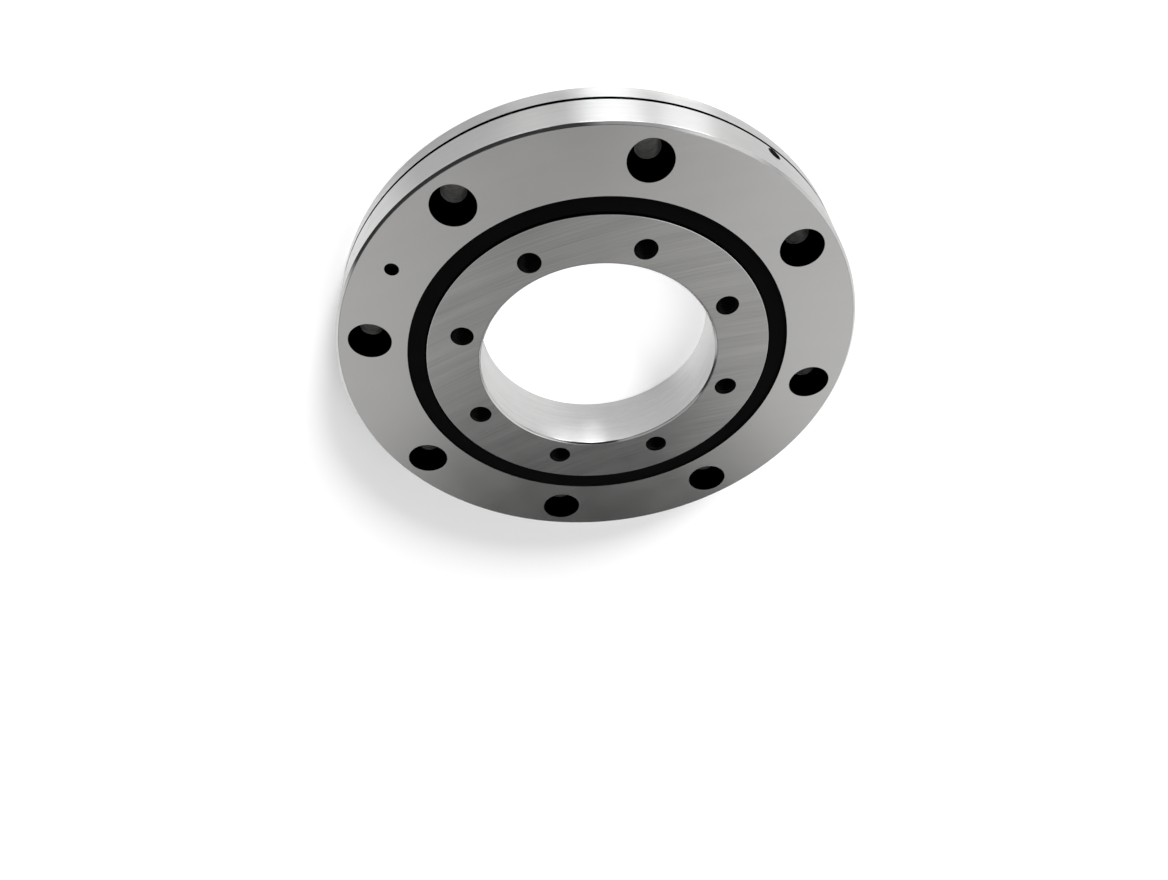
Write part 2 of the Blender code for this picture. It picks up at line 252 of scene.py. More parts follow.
def threaded_rod(low, high):
    """A rod with an ISO thread, a cutter for a tapped hole."""
    rise = (THREAD_MAJOR - THREAD_CORE) / math.tan(60 * DEGREE)
    crest = THREAD_PITCH / 8
    root = THREAD_PITCH - crest - 2 * rise
    turn = [
        (THREAD_CORE, 0.0),
        (THREAD_CORE, root),
        (THREAD_MAJOR, root + rise),
        (THREAD_MAJOR, root + rise + crest),
    ]
    turns = math.ceil((high - low) / THREAD_PITCH)
    rows = len(turn) * turns
    points = []
    for step in range(THREAD_STEPS):
        part = step / THREAD_STEPS
        angle = 2 * math.pi * part
        for row in range(rows + 1):
            radius, height = turn[row % len(turn)]
            height += low + THREAD_PITCH * (row // len(turn) + part)
            points.append((radius * math.cos(angle), radius * math.sin(angle), height))

    def at(step, row):
        return step * (rows + 1) + row

    faces = []
    for step in range(THREAD_STEPS - 1):
        for row in range(rows):
            low_side = (at(step, row), at(step + 1, row))
            high_side = (at(step + 1, row + 1), at(step, row + 1))
            faces.append(low_side + high_side)
    last = THREAD_STEPS - 1
    for row in range(rows - len(turn)):
        up = row + len(turn)
        faces.append((at(last, row), at(0, up), at(0, up + 1), at(last, row + 1)))
    bottom = [at(step, 0) for step in range(THREAD_STEPS)]
    bottom += [at(0, row) for row in range(len(turn), 0, -1)]
    top = [at(step, rows) for step in range(THREAD_STEPS)]
    top += [at(last, row) for row in range(rows - 1, rows - len(turn) - 1, -1)]
    for rim, height in ((bottom, low - THREAD_PITCH), (top, low + THREAD_PITCH * (turns + 2))):
        tip = len(points)
        points.append((0.0, 0.0, height))
        faces.extend((first, second, tip) for first, second in zip(rim, rim[1:] + rim[:1]))
    mesh = bpy.data.meshes.new("thread")
    mesh.from_pydata(points, [], faces)
    return tidy_mesh(mesh)


def gathered(name, placed):
    """One mesh from (mesh, matrix) pairs."""
    shape = bmesh.new()
    for mesh, matrix in placed:
        before = len(shape.verts)
        shape.from_mesh(mesh)
        shape.verts.ensure_lookup_table()
        bmesh.ops.transform(shape, matrix=matrix, verts=shape.verts[before:])
    mesh = bpy.data.meshes.new(name)
    shape.to_mesh(mesh)
    shape.free()
    return mesh


def round_pattern(mesh, radius, angle=0.0):
    """Places for one mesh at every hole of a hole circle."""
    step = 2 * math.pi / HOLE_COUNT
    shift = Matrix.Translation((radius, 0, 0))
    turns = [angle + index * step for index in range(HOLE_COUNT)]
    return [(mesh, Matrix.Rotation(turn, 4, "Z") @ shift) for turn in turns]


def radial(angle):
    """Matrix that lays a mesh on Z along a radius, from the axis outward at mid-width."""
    return (
        Matrix.Translation((0, 0, MID_HEIGHT))
        @ Matrix.Rotation(angle, 4, "Z")
        @ Matrix.Rotation(90 * DEGREE, 4, "Y")
    )


def linked(name, mesh):
    thing = bpy.data.objects.new(name, mesh)
    bpy.context.scene.collection.objects.link(thing)
    return thing


def settled(thing):
    """The object's mesh with its modifiers worked in."""
    bpy.context.view_layer.update()
    graph = bpy.context.evaluated_depsgraph_get()
    mesh = bpy.data.meshes.new_from_object(thing.evaluated_get(graph))
    thing.modifiers.clear()
    thing.data = mesh
    return thing


def cut(thing, *cutters):
    """Works (mesh, operation) cutters into a mesh, in order."""
    tools = []
    for mesh, operation in cutters:
        tool = linked(mesh.name, mesh)
        change = thing.modifiers.new(mesh.name, "BOOLEAN")
        change.operation = operation
        change.solver = "EXACT"
        change.object = tool
        tools.append(tool)
    settled(thing)
    for tool in tools:
        bpy.data.objects.remove(tool)
    return thing


def shaded(thing):
    """Smooth shading with true flats: edges over 30 degrees stay sharp, large faces keep their normal."""
    thing.data.shade_smooth()
    thing.data.set_sharp_from_angle(angle=SHARP_ANGLE)
    weigh = thing.modifiers.new("normals", "WEIGHTED_NORMAL")
    weigh.keep_sharp = True
    weigh.weight = 100
    return settled(thing)


def dressed(thing, materials, region=None):
    """Materials by region: region(radius, height, upright) gives a face's place in the list."""
    thing.data.materials.clear()
    for material in materials:
        thing.data.materials.append(material)
    if region:
        for face in thing.data.polygons:
            radius = math.hypot(face.center.x, face.center.y)
            face.material_index = region(radius, face.center.z, abs(face.normal.z))
    return thing


class Surface:
    """A node tree under construction: a Principled material, or the world."""

    def __init__(self, owner):
        owner.use_nodes = True
        self.owner = owner
        self.tree = owner.node_tree
        self.place = self.add("ShaderNodeTexCoord").outputs

    def add(self, kind, **settings):
        node = self.tree.nodes.new(kind)
        for key, value in settings.items():
            setattr(node, key, value)
        return node

    def feed(self, socket, value):
        if isinstance(value, bpy.types.NodeSocket):
            self.tree.links.new(value, socket)
        else:
            socket.default_value = value

    def math(self, operation, *values):
        node = self.add("ShaderNodeMath", operation=operation)
        for socket, value in zip(node.inputs, values):
            self.feed(socket, value)
        return node.outputs[0]

    def parts(self, vector):
        node = self.add("ShaderNodeSeparateXYZ")
        self.feed(node.inputs[0], vector)
        return node.outputs

    def vector(self, x, y, z):
        node = self.add("ShaderNodeCombineXYZ")
        for socket, value in zip(node.inputs, (x, y, z)):
            self.feed(socket, value)
        return node.outputs[0]

    def noise(self, vector, scale, detail=2.0, roughness=0.5):
        node = self.add("ShaderNodeTexNoise")
        self.feed(node.inputs["Vector"], vector)
        node.inputs["Scale"].default_value = scale
        node.inputs["Detail"].default_value = detail
        node.inputs["Roughness"].default_value = roughness
        return node.outputs["Fac"]

    def spread(self, value, low, high, start=0.0, end=1.0, smooth=False):
        node = self.add("ShaderNodeMapRange")
        if smooth:
            node.interpolation_type = "SMOOTHSTEP"
        for socket, number in zip(node.inputs, (value, start, end, low, high)):
            self.feed(socket, number)
        return node.outputs[0]

    def stretched(self, noise, low=0.0, high=1.0):
        """Noise spread from low to high."""
        return self.spread(noise, low, high, *NOISE_RANGE)

    def tint(self, part, first, second):
        node = self.add("ShaderNodeMix", data_type="RGBA")
        self.feed(node.inputs["Factor"], part)
        first_colour, second_colour = [socket for socket in node.inputs if socket.type == "RGBA"]
        self.feed(first_colour, (*first, 1.0))
        self.feed(second_colour, (*second, 1.0))
        return next(socket for socket in node.outputs if socket.type == "RGBA")

    def bump(self, height, depth, strength=1.0):
        node = self.add("ShaderNodeBump")
        node.inputs["Strength"].default_value = strength
        node.inputs["Distance"].default_value = depth
        self.feed(node.inputs["Height"], height)
        return node.outputs["Normal"]


def blended(surface, *weighted):
    """Sum of (weight, value) pairs."""
    total = 0.0
    for weight, value in weighted:
        total = surface.math("MULTIPLY_ADD", value, weight, total)
    return total


def new_surface(name):
    return Surface(bpy.data.materials.new(name))


def completed(surface, metallic, colour, roughness, height, depth, **extra):
    """Feeds the shader and gives the material. Height is worked into a bump of this depth."""
    shader = surface.tree.nodes["Principled BSDF"]
    shader.inputs["Metallic"].default_value = metallic
    for name, value in extra.items():
        shader.inputs[name].default_value = value
    surface.feed(shader.inputs["Base Color"], colour)
    surface.feed(shader.inputs["Roughness"], roughness)
    surface.feed(shader.inputs["Normal"], surface.bump(height, depth))
    return surface.owner


def millimetres(surface):
    """The piece's own x, y and z in millimetres."""
    scale = surface.add("ShaderNodeVectorMath", operation="SCALE")
    surface.feed(scale.inputs[0], surface.place["Object"])
    scale.inputs["Scale"].default_value = 1000.0
    return scale.outputs[0]


def polar(surface, x, y):
    radius = surface.math("SQRT", surface.math("MULTIPLY_ADD", x, x, surface.math("MULTIPLY", y, y)))
    return radius, surface.math("ARCTAN2", y, x)


def ground_face(name, dark, light, streak, roughness):
    """A face ground flat: long fine arcs about a far centre, as strong as streak says."""
    surface = new_surface(name)
    place = millimetres(surface)
    x, y, z = surface.parts(place)
    far, turn = polar(surface, surface.math("SUBTRACT", x, GRIND_X), surface.math("SUBTRACT", y, GRIND_Y))
    along = surface.math("MULTIPLY", turn, GRIND_REACH)
    fine = surface.noise(surface.vector(far, surface.math("MULTIPLY", along, 0.012), z), 3.2, 3.0, 0.6)
    broad = surface.noise(surface.vector(far, surface.math("MULTIPLY", along, 0.05), z), 0.42)
    cloud = surface.noise(place, 0.045, 3.0, 0.55)
    grain = surface.noise(place, 9.0, 2.0, 0.7)
    arcs = ((0.42 * streak, fine), (0.34 * streak, broad))
    even = ((0.22, cloud), (0.02, grain))
    tone = blended(surface, *arcs, *even)
    middle = 0.5 * sum(weight for weight, value in arcs + even)
    part = surface.spread(tone, 0.0, 1.0, middle - 0.2, middle + 0.2)
    colour = surface.tint(part, dark, light)
    texture = blended(surface, (0.65, cloud), (0.3, fine), (0.05, grain))
    rough = surface.stretched(texture, roughness - 0.04, roughness + 0.04)
    return completed(surface, 1.0, colour, rough, fine, 0.0024 * MM * streak ** 2)


def ground_round(name, dark, light, roughness, lined=0.0):
    """A ground cylinder or cone: lines run round the axis, and lined spreads reflections across them."""
    surface = new_surface(name)
    place = millimetres(surface)
    x, y, z = surface.parts(place)
    radius, turn = polar(surface, x, y)
    level = surface.math("MULTIPLY_ADD", radius, 0.7, z)
    around = surface.math("MULTIPLY", turn, 2.0)
    lines = surface.noise(surface.vector(around, 0.0, level), 5.5, 3.0, 0.65)
    bands = surface.noise(surface.vector(surface.math("MULTIPLY", turn, 1.2), 0.0, level), 1.1)
    cloud = surface.noise(place, 0.06)
    tone = blended(surface, (0.5, lines), (0.3, bands), (0.2, cloud))
    colour = surface.tint(surface.stretched(tone), dark, light)
    texture = blended(surface, (0.6, cloud), (0.4, lines))
    rough = surface.stretched(texture, 0.87 * roughness, 1.13 * roughness)
    settings = {"Anisotropic": lined, "Anisotropic Rotation": QUARTER_TURN}
    return completed(surface, 1.0, colour, rough, lines, 0.003 * MM, **settings)


def turned_hole(name, dark, light, circle, start, roughness, lined=0.0, glance=0.1):
    """Drilled and turned holes on a hole circle: fine rings round each hole's own axis."""
    surface = new_surface(name)
    place = millimetres(surface)
    x, y, z = surface.parts(place)
    radius, turn = polar(surface, x, y)
    step = 2 * math.pi / HOLE_COUNT
    shifted = surface.math("SUBTRACT", turn, start)
    nearest = surface.math("MULTIPLY", surface.math("ROUND", surface.math("DIVIDE", shifted, step)), step)
    folded = surface.math("SUBTRACT", shifted, nearest)
    outward = surface.math("MULTIPLY", radius, surface.math("COSINE", folded))
    sideways = surface.math("MULTIPLY", radius, surface.math("SINE", folded))
    local, around = polar(surface, surface.math("SUBTRACT", outward, circle / MM), sideways)
    level = surface.math("ADD", z, local)
    rings = surface.noise(surface.vector(surface.math("MULTIPLY", around, 0.15), 0.0, level), 4.5, 3.0, 0.6)
    marks = surface.noise(surface.vector(around, 0.0, level), 1.6)
    tone = blended(surface, (0.65, rings), (0.35, marks))
    colour = surface.tint(surface.stretched(tone), dark, light)
    rough = surface.stretched(marks, roughness - 0.06, roughness + 0.08)
    across = surface.add("ShaderNodeVectorMath", operation="CROSS_PRODUCT")
    surface.feed(across.inputs[0], surface.add("ShaderNodeNewGeometry").outputs["Normal"])
    across.inputs[1].default_value = (0.0, 0.0, -1.0)
    surface.feed(surface.tree.nodes["Principled BSDF"].inputs["Tangent"], across.outputs[0])
    # glance is the Specular Tint; its low default dims the grazing reflections of the near-black holes, as
    # part of their painted shade
    settings = {
        "Anisotropic": lined,
        "Anisotropic Rotation": QUARTER_TURN,
        "Specular Tint": (glance, glance, glance, 1.0),
    }
    return completed(surface, 1.0, colour, rough, rings, 0.012 * MM, **settings)


def rubber(name, dark, light):
    """Moulded rubber: fine pores, and faint rings round the axis."""
    surface = new_surface(name)
    place = millimetres(surface)
    x, y = surface.parts(place)[:2]
    radius, turn = polar(surface, x, y)
    pores = surface.noise(place, 6.0, 3.0, 0.6)
    cloud = surface.noise(place, 0.12, 3.0, 0.55)
    rings = surface.noise(surface.vector(surface.math("MULTIPLY", turn, 0.4), 0.0, radius), 2.6)
    tone = blended(surface, (0.5, cloud), (0.3, rings), (0.2, pores))
    colour = surface.tint(surface.stretched(tone), dark, light)
    rough = surface.stretched(tone, 0.50, 0.68)
    height = blended(surface, (0.6, pores), (0.4, rings))
    return completed(surface, 0.0, colour, rough, height, 0.02 * MM, **{"Specular IOR Level": 0.025})


def resin(name, dark, light):
    """Moulded resin with a fine grain."""
    surface = new_surface(name)
    place = millimetres(surface)
    grain = surface.noise(place, 5.0, 3.0, 0.6)
    cloud = surface.noise(place, 0.5)
    tone = blended(surface, (0.6, cloud), (0.4, grain))
    colour = surface.tint(surface.stretched(tone), dark, light)
    rough = surface.stretched(tone, 0.40, 0.58)
    return completed(surface, 0.0, colour, rough, grain, 0.01 * MM)


outer_face = ground_face("outer_face_ground", (0.52, 0.515, 0.505), (0.615, 0.61, 0.60), 0.3, 0.22)
inner_face = ground_face("inner_face_ground", (0.34, 0.336, 0.33), (0.51, 0.505, 0.50), 1.0, 0.23)
rim_steel = ground_round("rim_ground", (0.48, 0.48, 0.477), (0.62, 0.62, 0.617), 0.38, 1.0)
bore_steel = ground_round("bore_ground", (0.56, 0.56, 0.557), (0.72, 0.72, 0.717), 0.42, 0.9)
edge_steel = ground_round("edge_ground", (0.50, 0.50, 0.497), (0.62, 0.62, 0.617), 0.11)
race_steel = ground_round("raceway_honed", (0.60, 0.60, 0.60), (0.74, 0.74, 0.74), 0.16)
roller_steel = ground_round("roller_polished", (0.66, 0.66, 0.665), (0.78, 0.78, 0.785), 0.10)
# Near black, far darker than steel: painted shade in the counterbores, their mouths, the groove and the
# other recesses of the outer ring
hole_painted_shade = turned_hole(
    "counterbore_painted_shade", (0.0004, 0.0004, 0.0004), (0.002, 0.002, 0.0019), OUTER_HOLE_CIRCLE, 0.0, 0.30
)
drilled_steel = turned_hole(
    "hole_drilled", (0.10, 0.098, 0.095), (0.62, 0.61, 0.60), OUTER_HOLE_CIRCLE, 0.0, 0.34, 0.9, 1.0
)
# Near black: painted shade in the tapped holes and their countersinks
thread_painted_shade = turned_hole(
    "thread_cut_painted_shade", (0.002, 0.002, 0.002), (0.009, 0.0088, 0.0086), INNER_HOLE_CIRCLE, INNER_HOLE_ANGLE, 0.36
)
# Near black, far darker than ground steel: painted shade on the pin down in its hole
pin_painted_shade = turned_hole(
    "pin_ground", (0.02, 0.0195, 0.019), (0.06, 0.059, 0.056), OUTER_HOLE_CIRCLE, PLUG_ANGLE, 0.38
)
seal_rubber = rubber("nitrile_rubber", (0.0008, 0.0008, 0.0009), (0.0025, 0.0025, 0.0027))
spacer_resin = resin("spacer_resin_look", (0.56, 0.47, 0.30), (0.70, 0.62, 0.45))
OUTER_FINISHES = [outer_face, rim_steel, race_steel, hole_painted_shade, edge_steel, drilled_steel]
INNER_FINISHES = [inner_face, bore_steel, race_steel, thread_painted_shade, edge_steel]


def race_half(side):
    """(radius, height over the mid-plane) from the seal's shoulder to the relief; side is 1 outside."""
    land = PITCH_RADIUS + side * LAND_GAP / 2
    vee_end = PITCH_RADIUS + side * RELIEF_START
    return [
        (land, MID_HEIGHT - SEAT_DEPTH),
        (land, VEE_MOUTH),
        (vee_end, RELIEF_WIDTH / 2),
        (vee_end + side * RELIEF_DEPTH, RELIEF_WIDTH / 2),
    ]


def race_side(side):
    half = race_half(side)
    upper = [(radius, MID_HEIGHT + height) for radius, height in half]
    lower = [(radius, MID_HEIGHT - height) for radius, height in reversed(half)]
    return upper + lower


def outer_profile():
    groove_floor = OUTER_RADIUS - GROOVE_DEPTH
    rim = [
        (OUTER_RADIUS - OUTER_CHAMFER, WIDTH),
        (OUTER_RADIUS, WIDTH - OUTER_CHAMFER),
        (OUTER_RADIUS, GROOVE_TOP),
        (groove_floor, GROOVE_TOP),
        (groove_floor, GROOVE_TOP - GROOVE_WIDTH),
        (OUTER_RADIUS, GROOVE_TOP - GROOVE_WIDTH),
        (OUTER_RADIUS, OUTER_CHAMFER),
        (OUTER_RADIUS - OUTER_CHAMFER, 0.0),
    ]
    low = [(SEAT_RADIUS, 0.0), (SEAT_RADIUS, SEAT_DEPTH)]
    high = [(SEAT_RADIUS, WIDTH - SEAT_DEPTH), (SEAT_RADIUS, WIDTH)]
    return rounded(rim + low + race_side(1)[::-1] + high)


def inner_profile():
    high = [(TRACK_RADIUS, WIDTH), (TRACK_RADIUS, WIDTH - SEAT_DEPTH)]
    low = [(TRACK_RADIUS, SEAT_DEPTH), (TRACK_RADIUS, 0.0)]
    bore = [
        (BORE_RADIUS + BORE_CHAMFER, 0.0),
        (BORE_RADIUS, BORE_CHAMFER),
        (BORE_RADIUS, WIDTH - BORE_CHAMFER),
        (BORE_RADIUS + BORE_CHAMFER, WIDTH),
    ]
    return rounded(high + race_side(-1) + low + bore, SOFT_EDGE)


def counterbored_hole():
    """Cutter of a mounting hole, with a small broken edge at each mouth."""
    return turned("counterbored_hole", [
        (0.0, -OVERRUN),
        (OUTER_HOLE_RADIUS + MOUTH + OVERRUN, -OVERRUN),
        (OUTER_HOLE_RADIUS, MOUTH),
        (OUTER_HOLE_RADIUS, COUNTERBORE_FLOOR - MOUTH),
        (OUTER_HOLE_RADIUS + MOUTH, COUNTERBORE_FLOOR),
        (COUNTERBORE_RADIUS - EDGE, COUNTERBORE_FLOOR),
        (COUNTERBORE_RADIUS, COUNTERBORE_FLOOR + EDGE),
        (COUNTERBORE_RADIUS, WIDTH - MOUTH / 2),
        (COUNTERBORE_RADIUS + MOUTH / 2 + OVERRUN, WIDTH + OVERRUN),
        (0.0, WIDTH + OVERRUN),
    ], HOLE_STEPS, closed=False)


def pin_radius(height):
    """Radius of the tapered pin hole, widest at the top face."""
    return PIN_RADIUS - PIN_TAPER / 2 * (WIDTH - height)


def pin_hole():
    """Cutter of the tapered pin hole, on its own axis."""
    return turned("pin_hole", [
        (0.0, PIN_FLOOR),
        (pin_radius(PIN_FLOOR), PIN_FLOOR),
        (pin_radius(WIDTH) - EDGE, WIDTH - 2 * EDGE),
        (pin_radius(WIDTH) + OVERRUN, WIDTH + OVERRUN),
        (0.0, WIDTH + OVERRUN),
    ], HOLE_STEPS, closed=False)


def radial_hole(name, radius, mouth):
    """Cutter of a radial hole from the gap between the rings out past the rim."""
    return turned(name, [
        (0.0, PITCH_RADIUS),
        (radius, PITCH_RADIUS),
        (radius, OUTER_RADIUS - mouth),
        (radius + mouth + OVERRUN, OUTER_RADIUS + OVERRUN),
        (0.0, OUTER_RADIUS + OVERRUN),
    ], HOLE_STEPS, closed=False)


def at_pin():
    return Matrix.Rotation(PLUG_ANGLE, 4, "Z") @ Matrix.Translation((OUTER_HOLE_CIRCLE, 0, 0))


def on_end(height, upright):
    """Whether a face belongs to one of the two flat faces of a ring."""
    return upright > LEVEL and abs(height - MID_HEIGHT) > MID_HEIGHT - 2 * NEAR


def outer_region(radius, height, upright):
    near_end = abs(height - MID_HEIGHT) > MID_HEIGHT - 2 * OUTER_CHAMFER
    in_hole = abs(radius - OUTER_HOLE_CIRCLE) < OUTER_HOLE_RADIUS + 5 * NEAR
    if on_end(height, upright):
        return FACE
    if radius > OUTER_RADIUS - OUTER_CHAMFER and upright > SLANTED and near_end:
        return CHAMFER
    if radius > OUTER_RADIUS - EDGE - NEAR and upright < SLANTED:
        return WALL
    if radius < PITCH_RADIUS + RELIEF_START + RELIEF_DEPTH + NEAR and height < WIDTH - MOUTH:
        return RACE
    if in_hole and height < COUNTERBORE_FLOOR - MOUTH - 2 * NEAR:
        return DRILLED
    # Counterbores, hole mouths, the groove and other recesses take the near-black finish, which is painted
    # shade
    return HOLE


def inner_region(radius, height, upright):
    if on_end(height, upright):
        return FACE
    if radius < BORE_RADIUS + BORE_CHAMFER:
        return CHAMFER if upright > SLANTED else WALL
    if radius > PITCH_RADIUS - RELIEF_START - RELIEF_DEPTH - NEAR:
        return RACE
    # The tapped holes and their countersinks take the near-black finish, which is painted shade
    return HOLE


def make_outer_ring():
    ring = linked("outer_ring_ground", turned("outer_ring_ground", outer_profile(), RING_STEPS))
    holes = round_pattern(counterbored_hole(), OUTER_HOLE_CIRCLE)
    holes.append((pin_hole(), at_pin()))
    holes.append((radial_hole("oil_hole", OIL_HOLE_RADIUS, MOUTH), radial(OIL_HOLE_ANGLE)))
    loading = gathered("loading", [(radial_hole("loading_hole", LOADING_RADIUS, SEAM), radial(PLUG_ANGLE))])
    cut(ring, (gathered("holes", holes), "DIFFERENCE"), (loading, "DIFFERENCE"))
    dressed(ring, OUTER_FINISHES, outer_region)
    return shaded(ring)


def make_plug():
    plug = linked("loading_plug_ground", turned("loading_plug_ground", outer_profile(), RING_STEPS))
    blank = radial_hole("plug_blank", LOADING_RADIUS - PLUG_CLEARANCE, SEAM)
    blank = gathered("plug_blank", [(blank, radial(PLUG_ANGLE))])
    hole = gathered("plug_pin_hole", [(pin_hole(), at_pin())])
    cut(plug, (blank, "INTERSECT"), (hole, "DIFFERENCE"))
    dressed(plug, OUTER_FINISHES, outer_region)
    return shaded(plug)


def make_pin():
    low = PIN_FLOOR + PIN_END_GAP
    high = WIDTH - PIN_SEAT_DEPTH
    outline = rounded([
        (0.0, low),
        (pin_radius(low) - PIN_CLEARANCE, low),
        (pin_radius(high) - PIN_CLEARANCE, high),
        (0.0, high),
    ], 2 * EDGE, closed=False)
    mesh = turned("lock_pin_ground", outline, HOLE_STEPS, closed=False)
    mesh.transform(at_pin())
    return shaded(dressed(linked("lock_pin_ground", mesh), [pin_painted_shade]))


def countersink(name, mouth, outward):
    """Cutter of a cone that narrows from a ring's face at height mouth; outward is 1 upward."""
    narrow = THREAD_CORE / 2
    tip = mouth - outward * (COUNTERSINK_RADIUS - narrow)
    past = mouth + outward * OVERRUN
    profile = [(0.0, tip), (narrow, tip), (COUNTERSINK_RADIUS + OVERRUN, past), (0.0, past)]
    return turned(name, profile, HOLE_STEPS, closed=False)


def tap_cutter():
    """Cutter of a tapped hole."""
    low = -OVERRUN
    high = WIDTH + OVERRUN
    return threaded_rod(low, high)


def make_inner_ring():
    ring = linked("inner_ring_ground", turned("inner_ring_ground", inner_profile(), RING_STEPS))
    taps = gathered("taps", round_pattern(tap_cutter(), INNER_HOLE_CIRCLE, INNER_HOLE_ANGLE))
    sinks = round_pattern(countersink("high", WIDTH, 1), INNER_HOLE_CIRCLE, INNER_HOLE_ANGLE)
    sinks += round_pattern(countersink("low", 0.0, -1), INNER_HOLE_CIRCLE, INNER_HOLE_ANGLE)
    cut(ring, (taps, "DIFFERENCE"), (gathered("sinks", sinks), "DIFFERENCE"))
    dressed(ring, INNER_FINISHES, inner_region)
    return shaded(ring)


def seal_profile(side):
    """Section of a seal, with its lip on the inner ring's track; side is 1 for the top seal."""
    rim = SEAT_RADIUS - SEAL_SEAT_CLEARANCE
    lip = TRACK_RADIUS + SEAL_LIP_CLEARANCE
    face = MID_HEIGHT - SEAL_RECESS
    back = face - SEAL_THICKNESS
    web = rim - SEAL_RIM_WIDTH
    half = [
        (lip + SEAL_LIP_BEVEL, face),
        (rim, face),
        (rim, back),
        (web, back),
        (web - SEAL_RELIEF, back + SEAL_RELIEF),
        (lip, face - SEAL_LIP_HEIGHT),
        (lip, face - SEAL_LIP_BEVEL),
    ]
    return rounded([(radius, MID_HEIGHT + side * height) for radius, height in half], SOFT_EDGE)


def make_seal(name, side):
    mesh = turned(name, seal_profile(side), RING_STEPS)
    return shaded(dressed(linked(name, mesh), [seal_rubber]))


def pitch_place(steps):
    """Place on the pitch circle, so many roller steps round from the first roller."""
    turn = Matrix.Rotation(steps * ROLLER_STEP, 4, "Z")
    return turn @ Matrix.Translation((PITCH_RADIUS, 0, MID_HEIGHT))


def roller_place(index):
    lean = ROLLER_TILT if index % 2 == 0 else -ROLLER_TILT
    return pitch_place(index) @ Matrix.Rotation(lean, 4, "Y")


def spacer_place(index):
    return pitch_place(index + 0.5)


def make_rollers():
    end = ROLLER_RADIUS - ROLLER_CHAMFER
    half = ROLLER_LENGTH / 2
    outline = rounded([
        (0.0, half),
        (end, half),
        (ROLLER_RADIUS, half - ROLLER_CHAMFER),
        (ROLLER_RADIUS, ROLLER_CHAMFER - half),
        (end, -half),
        (0.0, -half),
    ], BROAD_EDGE, 4, closed=False)
    mesh = turned("roller_ground", outline, ROLLER_STEPS, closed=False)
    first = shaded(dressed(linked("roller_ground_01", mesh), [roller_steel]))
    others = [linked(f"roller_ground_{number:02d}", first.data) for number in range(2, ROLLER_COUNT + 1)]
    rollers = [first] + others
    for index, roller in enumerate(rollers):
        roller.matrix_world = roller_place(index)
    return rollers


def make_spacers():
    """Two kinds of spacer, as the rollers beside each lean one way or the other."""
    half = SPACER_LENGTH / 2
    outline = [(0.0, half), (SPACER_RADIUS, half), (SPACER_RADIUS, -half), (0.0, -half)]
    body = rounded(outline, BROAD_EDGE, closed=False)
    reach = 2 * SPACER_RADIUS
    cutter = [(0.0, -reach), (POCKET_RADIUS, -reach), (POCKET_RADIUS, reach), (0.0, reach)]
    pocket = turned("pocket", cutter, POCKET_STEPS, closed=False)
    kinds = []
    for index in range(2):
        home = spacer_place(index).inverted()
        mesh = turned("spacer_block", body, SPACER_STEPS, closed=False)
        mesh.transform(Matrix.Rotation(90 * DEGREE, 4, "X"))
        spacer = linked("spacer_block", mesh)
        pockets = gathered("pockets", [(pocket, home @ roller_place(index + side)) for side in (0, 1)])
        cut(spacer, (pockets, "DIFFERENCE"))
        kinds.append(shaded(dressed(spacer, [spacer_resin])))
    spacers = []
    for index in range(ROLLER_COUNT):
        spacer = linked(f"spacer_moulded_{index + 1:02d}", kinds[index % 2].data)
        spacer.matrix_world = spacer_place(index)
        spacers.append(spacer)
    for kind in kinds:
        bpy.data.objects.remove(kind)
    return spacers


def stand_for(piece, body, node):
    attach(piece, body)
    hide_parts(node)


stand_for(make_outer_ring(), "outer_ring", "outer_ring")
stand_for(make_plug(), "outer_ring", "loading_plug")
stand_for(make_pin(), "outer_ring", "lock_pin")
stand_for(make_inner_ring(), "inner_ring", "inner_ring")
stand_for(make_seal("top_seal_moulded", 1), "outer_ring", "top_seal")
stand_for(make_seal("bottom_seal_moulded", -1), "outer_ring", "bottom_seal")
for number, roller in enumerate(make_rollers(), 1):
    stand_for(roller, f"roller_{number:02d}", f"roller_{number:02d}")
for number, spacer in enumerate(make_spacers(), 1):
    stand_for(spacer, "roller_set", f"spacer_{number:02d}")


def heading(azimuth, elevation):
    """Unit vector of a direction in degrees."""
    flat = math.cos(elevation * DEGREE)
    return Vector((
        flat * math.cos(azimuth * DEGREE),
        flat * math.sin(azimuth * DEGREE),
        math.sin(elevation * DEGREE),
    ))


